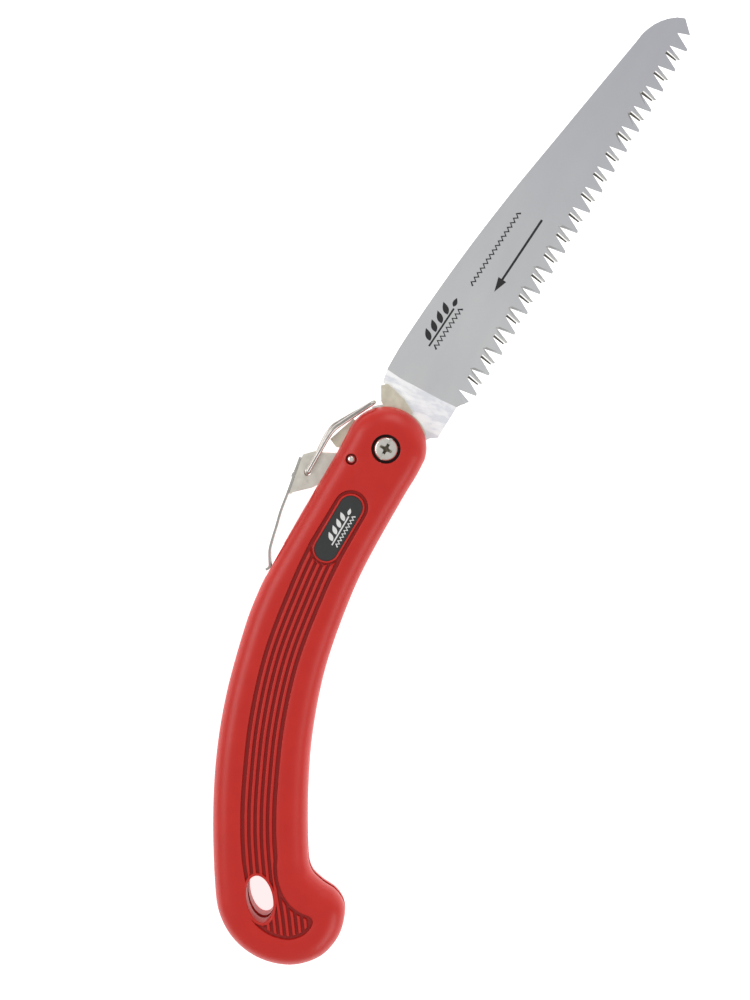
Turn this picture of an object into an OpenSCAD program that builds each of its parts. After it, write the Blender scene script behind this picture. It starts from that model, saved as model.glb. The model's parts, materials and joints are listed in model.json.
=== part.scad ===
// Folding pruning saw with a curved two-shell handle, a steel frame and a
// wire-bail lock. It lies flat on the back shell: +X runs from the butt to the
// blade tip, +Y is the side of the lock lever, +Z is up through the handle.
// The blade is open at rest and folds clockwise (about -Z) into the handle.

/* [Blade] */
// Angle that the blade turns from open to folded
fold_angle = 156.5; // [150:0.5:156.5]
// Thickness of the blade sheet
blade_t = 1.2; // [1:0.1:1.3]
// Number of teeth along the cutting edge
teeth = 35; // [20:1:40]
// Depth of a tooth, from its tip to the gullet
tooth_depth = 7.2; // [4:0.1:7.5]

/* [Handle] */
// Thickness of the whole handle
handle_t = 20; // [20:0.5:24]
// Radius of the round end at the pivot
nose_r = 17.5; // [17:0.1:17.8]
// How far the rounded edge draws in at the flat faces
edge_inset = 9; // [4:0.5:9]
// Height of the rounded edge
edge_h = 7.5; // [2:0.5:8]
// Wall left by the hollow inside the grip
wall = 3.2; // [2:0.2:4]

/* [Hanging hole] */
// Width of the hole
hole_w = 12; // [10:0.5:13]
// Length of the hole
hole_l = 21; // [15:0.2:21]

/* [Pivot] */
// Diameter of the pivot screw's shank
pivot_d = 6; // [5:0.5:6]
// Diameter of the pivot screw's head
head_d = 10; // [8:0.5:11]
// Outer diameter of the pivot bush that the blade turns on
bush_d = 9; // [8:0.5:10]

/* [Lock] */
// Angle that the lever turns when its tail is pressed to the handle
press_angle = 6; // [3:0.5:6]
// Diameter of the bail wire
wire_d = 2.1; // [1.8:0.1:2.2]
// Diameter of the lever's pin
pin_d = 3.6; // [3:0.1:3.6]

/* [Fits] */
// Radial clearance of a running fit
run_gap = 0.04; // [0.02:0.01:0.08]
// Free space between a seated piece and its pocket
seat_gap = 0.05; // [0.03:0.01:0.1]

/* [Hidden] */

// The pivot stands here from the middle of the whole saw's footprint.
pivot_at = [5.4, 14.9];
big = 400;

// Levels through the thickness, as distances from the middle plane
mid_z = handle_t / 2;
sheet_t = 1.2;
washer_t = 0.25;
ear_in = 0.9;
ear_out = ear_in + sheet_t;
flange_in = ear_out + 0.3;
flange_t = 1;
flange_out = flange_in + flange_t;
wire_z = flange_out + 0.1 + wire_d / 2;
slot_half = 1.15;

// Pivot stack
washer_d = 12.2;
washer_z = mid_z + 5.4;
head_z = washer_z + 1.2;
head_h = 2.3;
nut_h = 4.2;
nut_z = 2.2;
nut_af = 10;
nut_pocket_z = nut_z + nut_h;

// Lever pin, and how deep its ends sit below the faces
pin_at = [-9.75, 11.95];
pin_sink = 1.6;
pin_hole_d = 4.8;

// Screws that close the handle from the back: two through the frame, three along the grip
screw_d = 3;
screw_head_d = 5.6;
screw_head_z = 1;
screw_head_h = 2.2;
screw_end_z = mid_z + 6;
frame_screw_at = [[-30, 14.5], [-46, 15]];
grip_screw_at = [[-95, 12], [-140, 1], [-178, -10]];
screw_at = concat(frame_screw_at, grip_screw_at);
spacer_d = 7;

// Badge: a strip with round ends
badge_ends = [[-28.7, 4.2], [-49.2, 7]];
badge_r = 5.1;
badge_t = 1.2;

hole_at = [-200.6, -24.8];
hole_turn = 32;

steel = [0.72, 0.70, 0.66];
bright = [0.86, 0.85, 0.82];
red = [0.80, 0.22, 0.18];
charcoal = [0.22, 0.23, 0.23];

// A smooth curve through guide points: n steps between each pair, ends free.
function at_end(p, i) = p[max(0, min(len(p) - 1, i))];
function curve_point(p, i, t) =
    let (a = at_end(p, i - 1), b = p[i], c = p[i + 1], d = at_end(p, i + 2))
    0.5 * (2 * b + (c - a) * t + (2 * a - 5 * b + 4 * c - d) * t * t
        + (3 * b - a - 3 * c + d) * t * t * t);
function smooth(p, n) = [for (i = [0 : len(p) - 2]) for (k = [0 : n - 1]) curve_point(p, i, k / n)];
function arc(r, a0, a1, n, middle = [0, 0]) = [for (i = [0 : n])
    let (a = a0 + (a1 - a0) * i / n) middle + r * [cos(a), sin(a)]];

// Handle outline, anticlockwise: round nose, convex back, butt, hook, belly.
nose_middle = [0.3, 0.4];
nose = arc(nose_r, -85, 92, 30, nose_middle);
back_guide = [[-10, 19], [-30, 21.7], [-66, 26.2], [-80, 27.1], [-96, 26.5], [-124, 23],
    [-150, 17], [-176, 8], [-203, -4]];
butt_guide = [[-215.5, -11.5], [-223.5, -22], [-226.6, -35], [-224, -48.5], [-216, -58.5],
    [-206, -62.6], [-197, -62.4]];
hook_guide = [[-190, -59.6], [-186, -54], [-184.4, -46.8], [-181.2, -40.3], [-172.4, -35.1]];
belly_guide = [[-150, -25.8], [-126, -18], [-98, -12.4], [-68, -10.6], [-47, -11.3],
    [-18, -14.6], [-6, -16.4]];
outline = concat(nose, smooth(concat(back_guide, butt_guide, hook_guide, belly_guide, [nose[0]]), 3));

// The outline drawn in by d, each point moving square to the curve.
function unit(v) = v / norm(v);
function tangent(p, i) = unit(p[min(i + 1, len(p) - 1)] - p[max(i - 1, 0)]);
function reversed(p) = [for (i = [len(p) - 1 : -1 : 0]) p[i]];
function inward(p, i) =
    let (n = len(p), t = unit(p[(i + 1) % n] - p[(i + n - 1) % n])) [-t[1], t[0]];
function drawn_in(p, d) = [for (i = [0 : len(p) - 1]) p[i] + d * inward(p, i)];

// Half of the handle above the middle plane, with a rounded outer edge.
edge_steps = 5;
module half_solid() {
    n = len(outline);
    levels = concat([[0, 0]], [for (k = [0 : edge_steps]) [edge_inset * (1 - cos(90 * k / edge_steps)),
        mid_z - edge_h + edge_h * sin(90 * k / edge_steps)]]);
    pts = [for (l = levels) for (q = drawn_in(outline, l[0])) [q[0], q[1], l[1]]];
    last = len(levels) - 1;
    sides = [for (l = [0 : last - 1]) for (i = [0 : n - 1]) for (h = [0, 1])
        let (a = l * n + i, b = l * n + (i + 1) % n)
        h == 0 ? [a, a + n, b + n] : [a, b + n, b]];
    resize([0, 0, mid_z]) polyhedron(pts, concat(sides, [[for (i = [0 : n - 1]) i]],
        [[for (i = [n - 1 : -1 : 0]) last * n + i]]), convexity = 10);
}

module at_pivot() translate([pivot_at[0], pivot_at[1], 0]) children();
module at(p, z = 0) translate([p[0], p[1], z]) children();
// A straight-sided slab between two levels
module slab(points, z0, z1) translate([0, 0, z0]) linear_extrude(z1 - z0) polygon(points);
module rod(d, z0, z1) translate([0, 0, z0]) cylinder(h = z1 - z0, d = d, $fn = 64);
// A strip with round ends from a to b
module strip(a, b, r, z0, z1) {
    side = r * [-(b - a)[1], (b - a)[0]] / norm(b - a);
    at(a) rod(2 * r, z0, z1);
    at(b) rod(2 * r, z0, z1);
    slab([a - side, b - side, b + side, a + side], z0, z1);
}

// Space that the folding blade sweeps in the handle, z measured from the middle
blade_reach = 222.2;
module blade_slot() intersection() {
    rotate(-fold_angle) slab([[0, -16], [12, -22], [30, -28], [230, -57.5], [230, 60], [0, 60]],
        -slot_half, slot_half);
    rod(2 * blade_reach, -slot_half, slot_half);
}
module hole_shape(grow, z0, z1) {
    half = (hole_l - hole_w) / 2 * [cos(hole_turn), sin(hole_turn)];
    strip(hole_at - half, hole_at + half, hole_w / 2 + grow, z0, z1);
}
// Pocket that the frame's two ears sit in, open at the nose and the lever's side
frame_pocket = [[big, 40], [-34, 40], [-34, 20.2], [-50.2, 20.5], [-52.3, 18.2], [-52.3, 9.8],
    [-20, -8.4], [-20, -40], [big, -40]];
// Pocket that the lever's flanges swing in
lever_pocket = [[-5.5, 40], [-38, 40], [-38, 24.5], [-32, 18.5], [-15, 7], [-8, 6.5], [-5.5, 8.5]];
// Recess in the back of the handle for the leaf spring's tail
tail_recess = [[-54.5, 40], [-71, 40], [-71, 18.6], [-63, 18.6], [-54.5, 23]];
tail_half = 4;
// Hollow of one half of the grip, clear of the edge, the screws and the blade's slot
hollow = [[-62, 14], [-84, 20], [-122, 16], [-172, 0], [-184, -8], [-184, -22], [-150, -13],
    [-100, 1], [-62, 11]];

// Everything cut from the half above the middle plane, for either shell
module common_cuts() {
    blade_slot();
    slab(frame_pocket, -ear_out - seat_gap, ear_out + seat_gap);
    slab(lever_pocket, -flange_out - 0.3, flange_out + 0.3);
    slab(tail_recess, -tail_half, tail_half);
    hole_shape(0, -1, mid_z + 1);
    hole_shape(2.6, -1, slot_half);
    difference() {
        slab(hollow, -1, mid_z - wall);
        for (p = screw_at) at(p) rod(screw_head_d + 3.4, -2, mid_z);
    }
    rod(pivot_d + 0.1, -1, mid_z + 1);
    at(pin_at) rod(pin_d + 2 * run_gap, -1, mid_z + 1);
    at(pin_at) rod(pin_hole_d, mid_z - pin_sink - 2.4, mid_z + 1);
}
module badge_pocket() strip(badge_ends[0], badge_ends[1], badge_r + seat_gap, mid_z - badge_t - 0.1, mid_z + 1);

module handle_shell_front() color(red) at_pivot() translate([0, 0, mid_z]) difference() {
    half_solid();
    common_cuts();
    badge_pocket();
    rod(head_d + 2.5, washer_z - mid_z, mid_z + 1);
    for (p = screw_at) at(p) rod(screw_d + 2 * run_gap, -1, screw_end_z - mid_z + 0.5);
}
module handle_shell_back() color(red) at_pivot() difference() {
    translate([0, 0, mid_z]) mirror([0, 0, 1]) difference() {
        half_solid();
        common_cuts();
        badge_pocket();
        for (p = screw_at) at(p) {
            rod(screw_d + 0.2, -1, mid_z + 1);
            rod(screw_head_d + 0.6, mid_z - screw_head_z - screw_head_h, mid_z + 1);
        }
    }
    rotate(30) translate([0, 0, -1]) cylinder(h = nut_pocket_z + 1, d = (nut_af + 0.2) / cos(30), $fn = 6);
}

// Folded sheet frame: two ears joined by a web at the flap and one at the heel
ring_r = 18.1;
ear_r = 16.5;
flap = [[24.1, 12.6], [25.7, 10], [24.2, 5.7], [22.4, 1.2], [18.5, -4.6], [10, 0], [17.8, 9.9]];
heel = [[6.2, 18.05], [-5.6, 23.8], [-7.8, 20.1], [-6, 12], [4, 10]];
tail = [[-6, 17], [-30, 19.5], [-50, 20.2], [-52, 18], [-52, 10], [-20, -8], [-9, -15]];
module web(a, b) {
    inside = sheet_t * [-(b - a)[1], (b - a)[0]] / norm(b - a);
    slab([a, b, b + inside, a + inside], -ear_out, ear_out);
}
module ear(z0) {
    rod(2 * ear_r, z0, z0 + sheet_t);
    slab(concat([[0, 0]], arc(ring_r, -48, 62, 20)), z0, z0 + sheet_t);
    for (shape = [flap, heel, tail]) slab(shape, z0, z0 + sheet_t);
}
module steel_frame() color([0.75, 0.71, 0.63]) at_pivot() translate([0, 0, mid_z]) difference() {
    union() {
        ear(ear_in);
        ear(-ear_out);
        web(flap[0], flap[6]);
        web(heel[0], heel[1]);
    }
    rod(bush_d + 2 * run_gap, -mid_z, mid_z);
    at(pin_at) rod(pin_d + 2 * run_gap, -mid_z, mid_z);
    for (p = frame_screw_at) at(p) rod(screw_d + 0.2, -mid_z, mid_z);
}

// Blade outline in its open position, with the pivot at the origin
tang_r = 13.2;
lug_r = 18.9;
tooth_first = [35.7, -27.1];
tooth_last = [204.4, -52];
edge_dir = unit(tooth_last - tooth_first);
edge_in = [-edge_dir[1], edge_dir[0]];
// Back edge, from the tip's end to the coating's edge
back_curve = smooth([[199.3, -31], [160.6, -19.1], [121.7, -7.3], [83.3, 2.8], [57.9, 8.4], [31.7, 12.8]], 3);
tooth_pitch = norm(tooth_last - tooth_first) / (teeth - 1);
function tooth_tip(i) = tooth_first + i * tooth_pitch * edge_dir;
tooth_points = [for (i = [0 : teeth - 1]) for (h = [0, 1])
    h == 0 ? tooth_tip(i) : tooth_tip(i + 0.5) + tooth_depth * edge_in];
module saw_blade() color([0.72, 0.73, 0.75]) at_pivot() translate([0, 0, mid_z]) difference() {
    union() {
        rod(2 * tang_r, -blade_t / 2, blade_t / 2);
        slab(concat(
            [[0, 0], [6.7, -11.4], [11.1, -15.6], [12.6, -18.7], [27.9, -21.1], [31.7, -25],
                [33.4, -19.2]],
            tooth_points,
            [[210, -50.6], [215.6, -46.1], [214.6, -42.6], [212.8, -39.6], [209.3, -35.6],
                [203.5, -32.2]],
            back_curve, [[25.6, 12.4], [25.2, 11.3], [18.6, 8.4], [17.5, 7.2]],
            arc(lug_r, 22, 42, 4), [[5, 11]]), -blade_t / 2, blade_t / 2);
    }
    rod(bush_d + 2 * run_gap, -mid_z, mid_z);
}

module pivot_bush() color(steel) at_pivot() translate([0, 0, mid_z]) difference() {
    rod(bush_d, -ear_out, ear_out);
    rod(pivot_d + 2 * run_gap, -mid_z, mid_z);
}
module thrust_washer(z0) color(bright) at_pivot() translate([0, 0, mid_z + z0]) difference() {
    rod(20, 0, washer_t);
    rod(bush_d + 0.2, -1, 1);
}
module thrust_washer_front() thrust_washer(blade_t / 2 + 0.03);
module thrust_washer_back() thrust_washer(-blade_t / 2 - 0.03 - washer_t);

// Screw with a low domed head, a cross recess and a slot
module pivot_screw() color(bright) at_pivot() difference() {
    union() {
        rod(pivot_d, nut_z - 0.6, head_z);
        intersection() {
            rod(head_d, head_z, head_z + head_h);
            translate([0, 0, head_z + head_h - 16]) sphere(r = 16, $fn = 96);
        }
    }
    rotate(100) translate([-head_d, -0.6, head_z + head_h - 1.1]) cube([2 * head_d, 1.2, 4]);
    rotate(10) translate([-2.4, -0.6, head_z + head_h - 1.6]) cube([4.8, 1.2, 4]);
    rod(2, head_z + head_h - 1.9, head_z + head_h + 1);
}
// Split washer under the head
module spring_washer() color(steel) at_pivot() difference() {
    rod(washer_d, washer_z, head_z);
    rod(pivot_d + 0.3, 0, handle_t);
    rotate(-60) translate([0, -0.3, 0]) cube([washer_d, 0.6, handle_t]);
}
module pivot_nut() color(steel) at_pivot() rotate(30) difference() {
    translate([0, 0, nut_z]) cylinder(h = nut_h, d = nut_af / cos(30), $fn = 6);
    rod(pivot_d + 2 * run_gap, 0, handle_t);
}

module lever_pin() color(bright) at_pivot() at(pin_at, mid_z) intersection() {
    rod(pin_d, -mid_z + pin_sink, mid_z - pin_sink);
    sphere(r = mid_z - pin_sink, $fn = 96);
}

// Lever: a channel whose two flanges straddle the frame on the pin
lever_top = [-16.1, 32];
lever_tail = [-33.9, 31];
lever_edge = [[-12.9, 27.7], [-12.1, 24], [-10.6, 20], [-7.3, 12.6], [-7.3, 11]];
lever_foot = [[-13.2, 10], [-27.8, 22.8]];
web_t = 1;
module lever_flange(z0) {
    slab(concat([lever_tail, lever_foot[1], lever_foot[0]], [lever_edge[4], lever_edge[3],
        lever_edge[2], lever_edge[1], lever_edge[0], lever_top]), z0, z0 + flange_t);
    at(pin_at) rod(6.2, z0, z0 + flange_t);
}
wire_end = [-22.6, 27.2];
module lock_lever() color(steel) at_pivot() translate([0, 0, mid_z]) difference() {
    union() {
        lever_flange(flange_in);
        lever_flange(-flange_out);
        down = web_t * unit([lever_top[1] - lever_tail[1], lever_tail[0] - lever_top[0]]);
        slab([lever_top, lever_tail, lever_tail + down, lever_top + down], -flange_out, flange_out);
    }
    at(pin_at) rod(pin_d + 2 * run_gap, -mid_z, mid_z);
    at(wire_end) rod(wire_d + 0.8, -mid_z, mid_z);
    rivet_hole(0.05);
}

// Bail wire: a cross bar over the blade's shoulder and a leg down each side,
// bent into the flanges at its two ends. One tube is swept along its middle line.
wire_leg = [wire_end, [-4.6, 24.9], [-0.6, 23.9], [16.2, 12.6]];
wire_bend = 1.9;
wire_sides = 12;
wire_corners = concat(
    [[each wire_end, flange_in - 0.2]], [for (p = wire_leg) [each p, wire_z]],
    [for (p = reversed(wire_leg)) [each p, -wire_z]], [[each wire_end, -flange_in + 0.2]]);
function bent(a, p, b) =
    let (d0 = min(wire_bend, norm(a - p) / 2.1), d1 = min(wire_bend, norm(b - p) / 2.1),
        q0 = p + d0 * unit(a - p), q1 = p + d1 * unit(b - p))
    [for (k = [0 : 4]) let (t = k / 4) (1 - t) * (1 - t) * q0 + 2 * t * (1 - t) * p + t * t * q1];
wire_middle = concat([wire_corners[0]],
    [for (i = [1 : len(wire_corners) - 2]) each bent(wire_corners[i - 1], wire_corners[i], wire_corners[i + 1])],
    [wire_corners[len(wire_corners) - 1]]);
// Square to the legs' plane direction and to the cross bar alike
wire_side = [0.6, 0.8, 0];
function ring(p, i) =
    let (t = tangent(p, i), u = unit(cross(t, wire_side)), v = cross(u, t))
    [for (k = [0 : wire_sides - 1]) let (a = 360 * k / wire_sides)
        p[i] + wire_d / 2 * (cos(a) * u + sin(a) * v)];
module tube(p) {
    n = wire_sides;
    last = len(p) - 1;
    polyhedron([for (i = [0 : last]) each ring(p, i)], concat(
        [for (i = [0 : last - 1]) for (k = [0 : n - 1]) for (h = [0, 1])
            let (a = i * n + k, b = i * n + (k + 1) % n) h == 0 ? [a, a + n, b + n] : [a, b + n, b]],
        [[for (k = [0 : n - 1]) k]], [[for (k = [n - 1 : -1 : 0]) last * n + k]]), convexity = 6);
}
module lock_wire() color(bright) at_pivot() translate([0, 0, mid_z]) tube(wire_middle);

// Leaf spring: riveted on the lever's web, its tail reaching the handle
leaf_t = 1.1;
leaf_half = 3.2;
leaf_guide = [[-17.6, 32.58], [-25.5, 32.13], [-33.5, 31.7], [-38, 31.6], [-43, 31.4], [-49, 30.7],
    [-53.5, 30.3], [-59.3, 29.5], [-63.2, 28], [-66.4, 26.7], [-68.2, 27.7]];
leaf_curve = concat(smooth(leaf_guide, 4), [leaf_guide[len(leaf_guide) - 1]]);
function beside(p, d) = [for (i = [0 : len(p) - 1]) p[i] + d * [-tangent(p, i)[1], tangent(p, i)[0]]];
module leaf_spring() color(bright) at_pivot() translate([0, 0, mid_z]) difference() {
    slab(concat(beside(leaf_curve, leaf_t / 2), reversed(beside(leaf_curve, -leaf_t / 2))),
        -leaf_half, leaf_half);
    rivet_hole(0.05);
}
rivet_at = [-25.5, 31.5];
rivet_d = 2.6;
rivet_head_d = 4.2;
module rivet_axis() at(rivet_at) rotate([-90, 0, 0]) children();
module rivet_hole(gap) rivet_axis() rod(rivet_d + 2 * gap, -3, 3);
module leaf_rivet() color(bright) at_pivot() translate([0, 0, mid_z]) rivet_axis() {
    rod(rivet_d, -1.17, 1.32);
    rod(rivet_head_d, -1.75, -1.17);
    rod(rivet_head_d, 1.32, 1.65);
}

module badge() strip(badge_ends[0], badge_ends[1], badge_r, mid_z - badge_t - 0.05, mid_z - 0.1);
module badge_front() color(charcoal) at_pivot() translate([0, 0, mid_z]) badge();
module badge_back() color(charcoal) at_pivot() translate([0, 0, mid_z]) mirror([0, 0, 1]) badge();

// Cross-headed screw, entered from the back
module shell_screw() difference() {
    union() {
        rod(screw_d, screw_head_z, screw_end_z);
        rod(screw_head_d, screw_head_z, screw_head_z + screw_head_h);
    }
    for (a = [0, 90]) rotate(a) translate([-1.6, -0.4, 0]) cube([3.2, 0.8, screw_head_z + 1.2]);
}
module frame_screws() color(steel) at_pivot() for (p = frame_screw_at) at(p) shell_screw();
module grip_screws() color(steel) at_pivot() for (p = grip_screw_at) at(p) shell_screw();
// Sleeves that hold the frame's ears apart where the screws clamp them
module ear_spacers() color(steel) at_pivot() for (p = frame_screw_at) at(p, mid_z) difference() {
    rod(spacer_d, -ear_in + 0.01, ear_in - 0.01);
    rod(screw_d + 0.2, -1, 1);
}

handle_shell_front();
handle_shell_back();
steel_frame();
saw_blade();
pivot_screw();
spring_washer();
pivot_bush();
thrust_washer_front();
thrust_washer_back();
pivot_nut();
lever_pin();
lock_lever();
lock_wire();
leaf_spring();
leaf_rivet();
badge_front();
badge_back();
frame_screws();
grip_screws();
ear_spacers();
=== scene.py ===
import json
import math

import bmesh
import bpy
import numpy as np
from mathutils import Matrix, Vector
from mathutils.geometry import delaunay_2d_cdt


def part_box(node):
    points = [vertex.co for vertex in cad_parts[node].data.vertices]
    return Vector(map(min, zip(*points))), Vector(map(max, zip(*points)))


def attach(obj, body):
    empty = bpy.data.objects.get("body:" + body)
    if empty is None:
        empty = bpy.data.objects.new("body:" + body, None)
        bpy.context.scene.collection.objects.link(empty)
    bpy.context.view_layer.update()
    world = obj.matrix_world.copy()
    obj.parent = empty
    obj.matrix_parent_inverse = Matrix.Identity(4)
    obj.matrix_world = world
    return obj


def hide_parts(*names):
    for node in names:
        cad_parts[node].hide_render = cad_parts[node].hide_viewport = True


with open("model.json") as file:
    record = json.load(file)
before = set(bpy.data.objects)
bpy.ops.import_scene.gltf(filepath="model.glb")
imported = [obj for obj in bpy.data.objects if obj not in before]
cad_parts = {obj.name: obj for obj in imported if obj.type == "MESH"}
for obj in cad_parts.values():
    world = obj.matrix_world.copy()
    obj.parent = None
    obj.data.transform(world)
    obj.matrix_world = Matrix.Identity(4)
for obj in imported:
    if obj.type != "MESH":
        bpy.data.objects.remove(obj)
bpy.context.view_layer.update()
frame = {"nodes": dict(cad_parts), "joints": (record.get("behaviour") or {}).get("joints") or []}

# Shapes are written in millimetres from the pivot, with z from the handle's middle
# plane: +x runs to the blade's tip, +y to the lever's side, +z to the front face.
MM = 0.001
PIVOT = Vector(next(j for j in frame["joints"] if j["name"] == "blade_fold")["pos_m"])
TO_FRAME = Matrix.Translation(PIVOT) @ Matrix.Scale(MM, 4)
HALF_T = (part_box("handle_shell_front")[1].z - PIVOT.z) / MM

# ---------------------------------------------------------------- plane curves


def unit(v):
    """The vector at length 1."""
    return np.asarray(v, float) / np.hypot(*v)


def arc(radius, start, end, steps, middle=(0.0, 0.0)):
    """Points of an arc, with its angles in degrees."""
    turn = np.radians(np.linspace(start, end, steps + 1))
    return np.c_[middle[0] + radius * np.cos(turn), middle[1] + radius * np.sin(turn)]


def spun(points, turn, middle=(0, 0)):
    """Points turned anticlockwise by an angle in degrees and moved to a middle."""
    c, s = math.cos(math.radians(turn)), math.sin(math.radians(turn))
    return np.asarray(middle) + np.asarray(points, float) @ np.array([[c, s], [-s, c]])


def heading(a, b):
    """Angle in degrees of the line from a to b."""
    return math.degrees(math.atan2(b[1] - a[1], b[0] - a[0]))


def smooth(guide, steps, closed=False):
    """A curve through guide points, with its last point left out when closed."""
    p = np.asarray(guide, float)
    n = len(p)
    out = []
    for i in range(n if closed else n - 1):
        pick = [(i + k) % n if closed else min(max(i + k, 0), n - 1) for k in (-1, 0, 1, 2)]
        a, b, c, d = p[pick]
        for t in np.arange(steps) / steps:
            out.append(0.5 * (2 * b + (c - a) * t + (2 * a - 5 * b + 4 * c - d) * t**2
                              + (3 * b - a - 3 * c + d) * t**3))
    if not closed:
        out.append(p[-1])
    return np.array(out)


def normals(line, closed):
    """Unit vectors to the left of a line, one per point."""
    ahead, behind = np.roll(line, -1, 0), np.roll(line, 1, 0)
    if not closed:
        ahead[-1], behind[0] = line[-1], line[0]
    step = ahead - behind
    step /= np.maximum(np.hypot(step[:, 0], step[:, 1]), 1e-9)[:, None]
    return np.c_[-step[:, 1], step[:, 0]]


def beside(line, distance, closed=False):
    """The line moved to its left."""
    return line + distance * normals(line, closed)


def capsule(a, b, radius, steps=16):
    """Outline of a strip with round ends, anticlockwise."""
    turn = heading(a, b)
    return np.r_[arc(radius, turn - 90, turn + 90, steps, b), arc(radius, turn + 90, turn + 270, steps, a)]


def from_line(points, line, closed=False):
    """Distance from each point to a line, and the side of the nearest stretch (+1 left)."""
    points, line = np.asarray(points, float), np.asarray(line, float)
    a = line if closed else line[:-1]
    b = np.roll(line, -1, 0) if closed else line[1:]
    best = np.full(len(points), 1e9)
    side = np.ones(len(points))
    for start, end in zip(a, b):
        along = end - start
        length = along @ along
        if length < 1e-12:
            continue
        rel = points - start
        t = np.clip(rel @ along / length, 0, 1)
        gap = rel - t[:, None] * along
        d = np.hypot(gap[:, 0], gap[:, 1])
        nearer = d < best
        cross = along[0] * rel[:, 1] - along[1] * rel[:, 0]
        side[nearer] = np.where(cross[nearer] >= 0, 1.0, -1.0)
        best[nearer] = d[nearer]
    return best, side


def inside(points, polygon):
    """Whether each point lies in a closed polygon."""
    points, polygon = np.asarray(points, float), np.asarray(polygon, float)
    hit = np.zeros(len(points), bool)
    for (x0, y0), (x1, y1) in zip(polygon, np.roll(polygon, -1, 0)):
        if y0 == y1:
            continue
        crosses = (y0 > points[:, 1]) != (y1 > points[:, 1])
        at = x0 + (points[:, 1] - y0) * (x1 - x0) / (y1 - y0)
        hit ^= crosses & (points[:, 0] < at)
    return hit


def depth_in(points, polygon):
    """Distance from a closed outline, positive inside it."""
    d, _ = from_line(points, polygon, closed=True)
    return np.where(inside(points, polygon), d, -d)


def area(polygon):
    """Signed area of an outline, positive when it runs anticlockwise."""
    p = np.asarray(polygon, float)
    q = np.roll(p, -1, 0)
    return 0.5 * float(np.sum(p[:, 0] * q[:, 1] - q[:, 0] * p[:, 1]))


def runs(line, keep):
    """The stretches of a line whose points are kept."""
    out, now = [], []
    for point, wanted in zip(line, keep):
        if wanted:
            now.append(point)
        elif now:
            out.append(np.array(now))
            now = []
    if now:
        out.append(np.array(now))
    return [r for r in out if len(r) > 1]


def ramp(values, stops):
    """Straight-line steps through (value, result) stops."""
    xs, ys = zip(*stops)
    return np.interp(values, xs, ys)


# ---------------------------------------------------------------- mesh building


def triangles_in(outline, curves):
    """Triangles that fill an outline and hold every curve as edges: (points, faces)."""
    points, edges = [], []
    face = list(range(len(outline)))
    points.extend(outline)
    for curve, closed in curves:
        first = len(points)
        points.extend(curve)
        edges += [(first + i, first + i + 1) for i in range(len(curve) - 1)]
        if closed:
            edges.append((first + len(curve) - 1, first))
    xy, _, faces, *_ = delaunay_2d_cdt([Vector(p) for p in points], edges, [face], 1, 1e-4)
    xy = np.array([tuple(p) for p in xy])
    faces = [f for f in faces if len(f) == 3]
    middle = np.array([xy[list(f)].mean(0) for f in faces])
    faces = [f for f, wanted in zip(faces, inside(middle, outline)) if wanted]
    used = sorted({i for f in faces for i in f})
    place = {i: k for k, i in enumerate(used)}
    turned = []
    for f in faces:
        a, b, c = (xy[i] for i in f)
        left = (b[0] - a[0]) * (c[1] - a[1]) - (b[1] - a[1]) * (c[0] - a[0]) > 0
        turned.append([place[i] for i in (f if left else f[::-1])])
    return xy[used], turned


def boundary_edges(faces):
    """Directed edges that only one face uses."""
    directed = {(f[i], f[(i + 1) % len(f)]) for f in faces for i in range(len(f))}
    return [(a, b) for a, b in directed if (b, a) not in directed]


def boundary_loop(faces):
    """The outer edge of a filled outline as one ring of point numbers."""
    after = dict(boundary_edges(faces))
    ring = [min(after)]
    while after[ring[-1]] != ring[0]:
        ring.append(after[ring[-1]])
    return ring


def plate(outline, curves, top, bottom):
    """A closed sheet whose two faces follow height functions of the plane's points."""
    xy, faces = triangles_in(outline, curves)
    n = len(xy)
    verts = np.r_[np.c_[xy, top(xy)], np.c_[xy, bottom(xy)]]
    walls = [[b, a, a + n, b + n] for a, b in boundary_edges(faces)]
    return verts, faces + [[i + n for i in f[::-1]] for f in faces] + walls


def dome(outline, curves, top, rings):
    """A closed block: a shaped top, then rings (inset, z) down its side, and a flat base."""
    xy, faces = triangles_in(outline, curves)
    verts = [np.c_[xy, top(xy)]]
    loop = boundary_loop(faces)
    edge = xy[loop]
    above = loop
    count = len(xy)
    faces = list(faces)
    for inset, z in rings:
        moved = beside(edge, inset, closed=True)
        verts.append(np.c_[moved, np.full(len(edge), z)])
        below = list(range(count, count + len(edge)))
        count += len(edge)
        for i in range(len(edge)):
            j = (i + 1) % len(edge)
            faces.append([above[j], above[i], below[i], below[j]])
        above = below
    faces.append(above[::-1])
    return np.concatenate(verts), faces


def prism(outline, low, high):
    """A straight-sided block over an anticlockwise outline."""
    outline = np.asarray(outline, float)
    n = len(outline)
    verts = np.r_[np.c_[outline, np.full(n, low)], np.c_[outline, np.full(n, high)]]
    sides = [[i, (i + 1) % n, (i + 1) % n + n, i + n] for i in range(n)]
    return verts, [list(range(n))[::-1], list(range(n, 2 * n))] + sides


def cylinder(radius, low, high, middle=(0, 0), sides=64):
    """A straight round block."""
    return prism(arc(radius, 0, 360, sides, middle)[:-1], low, high)


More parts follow.
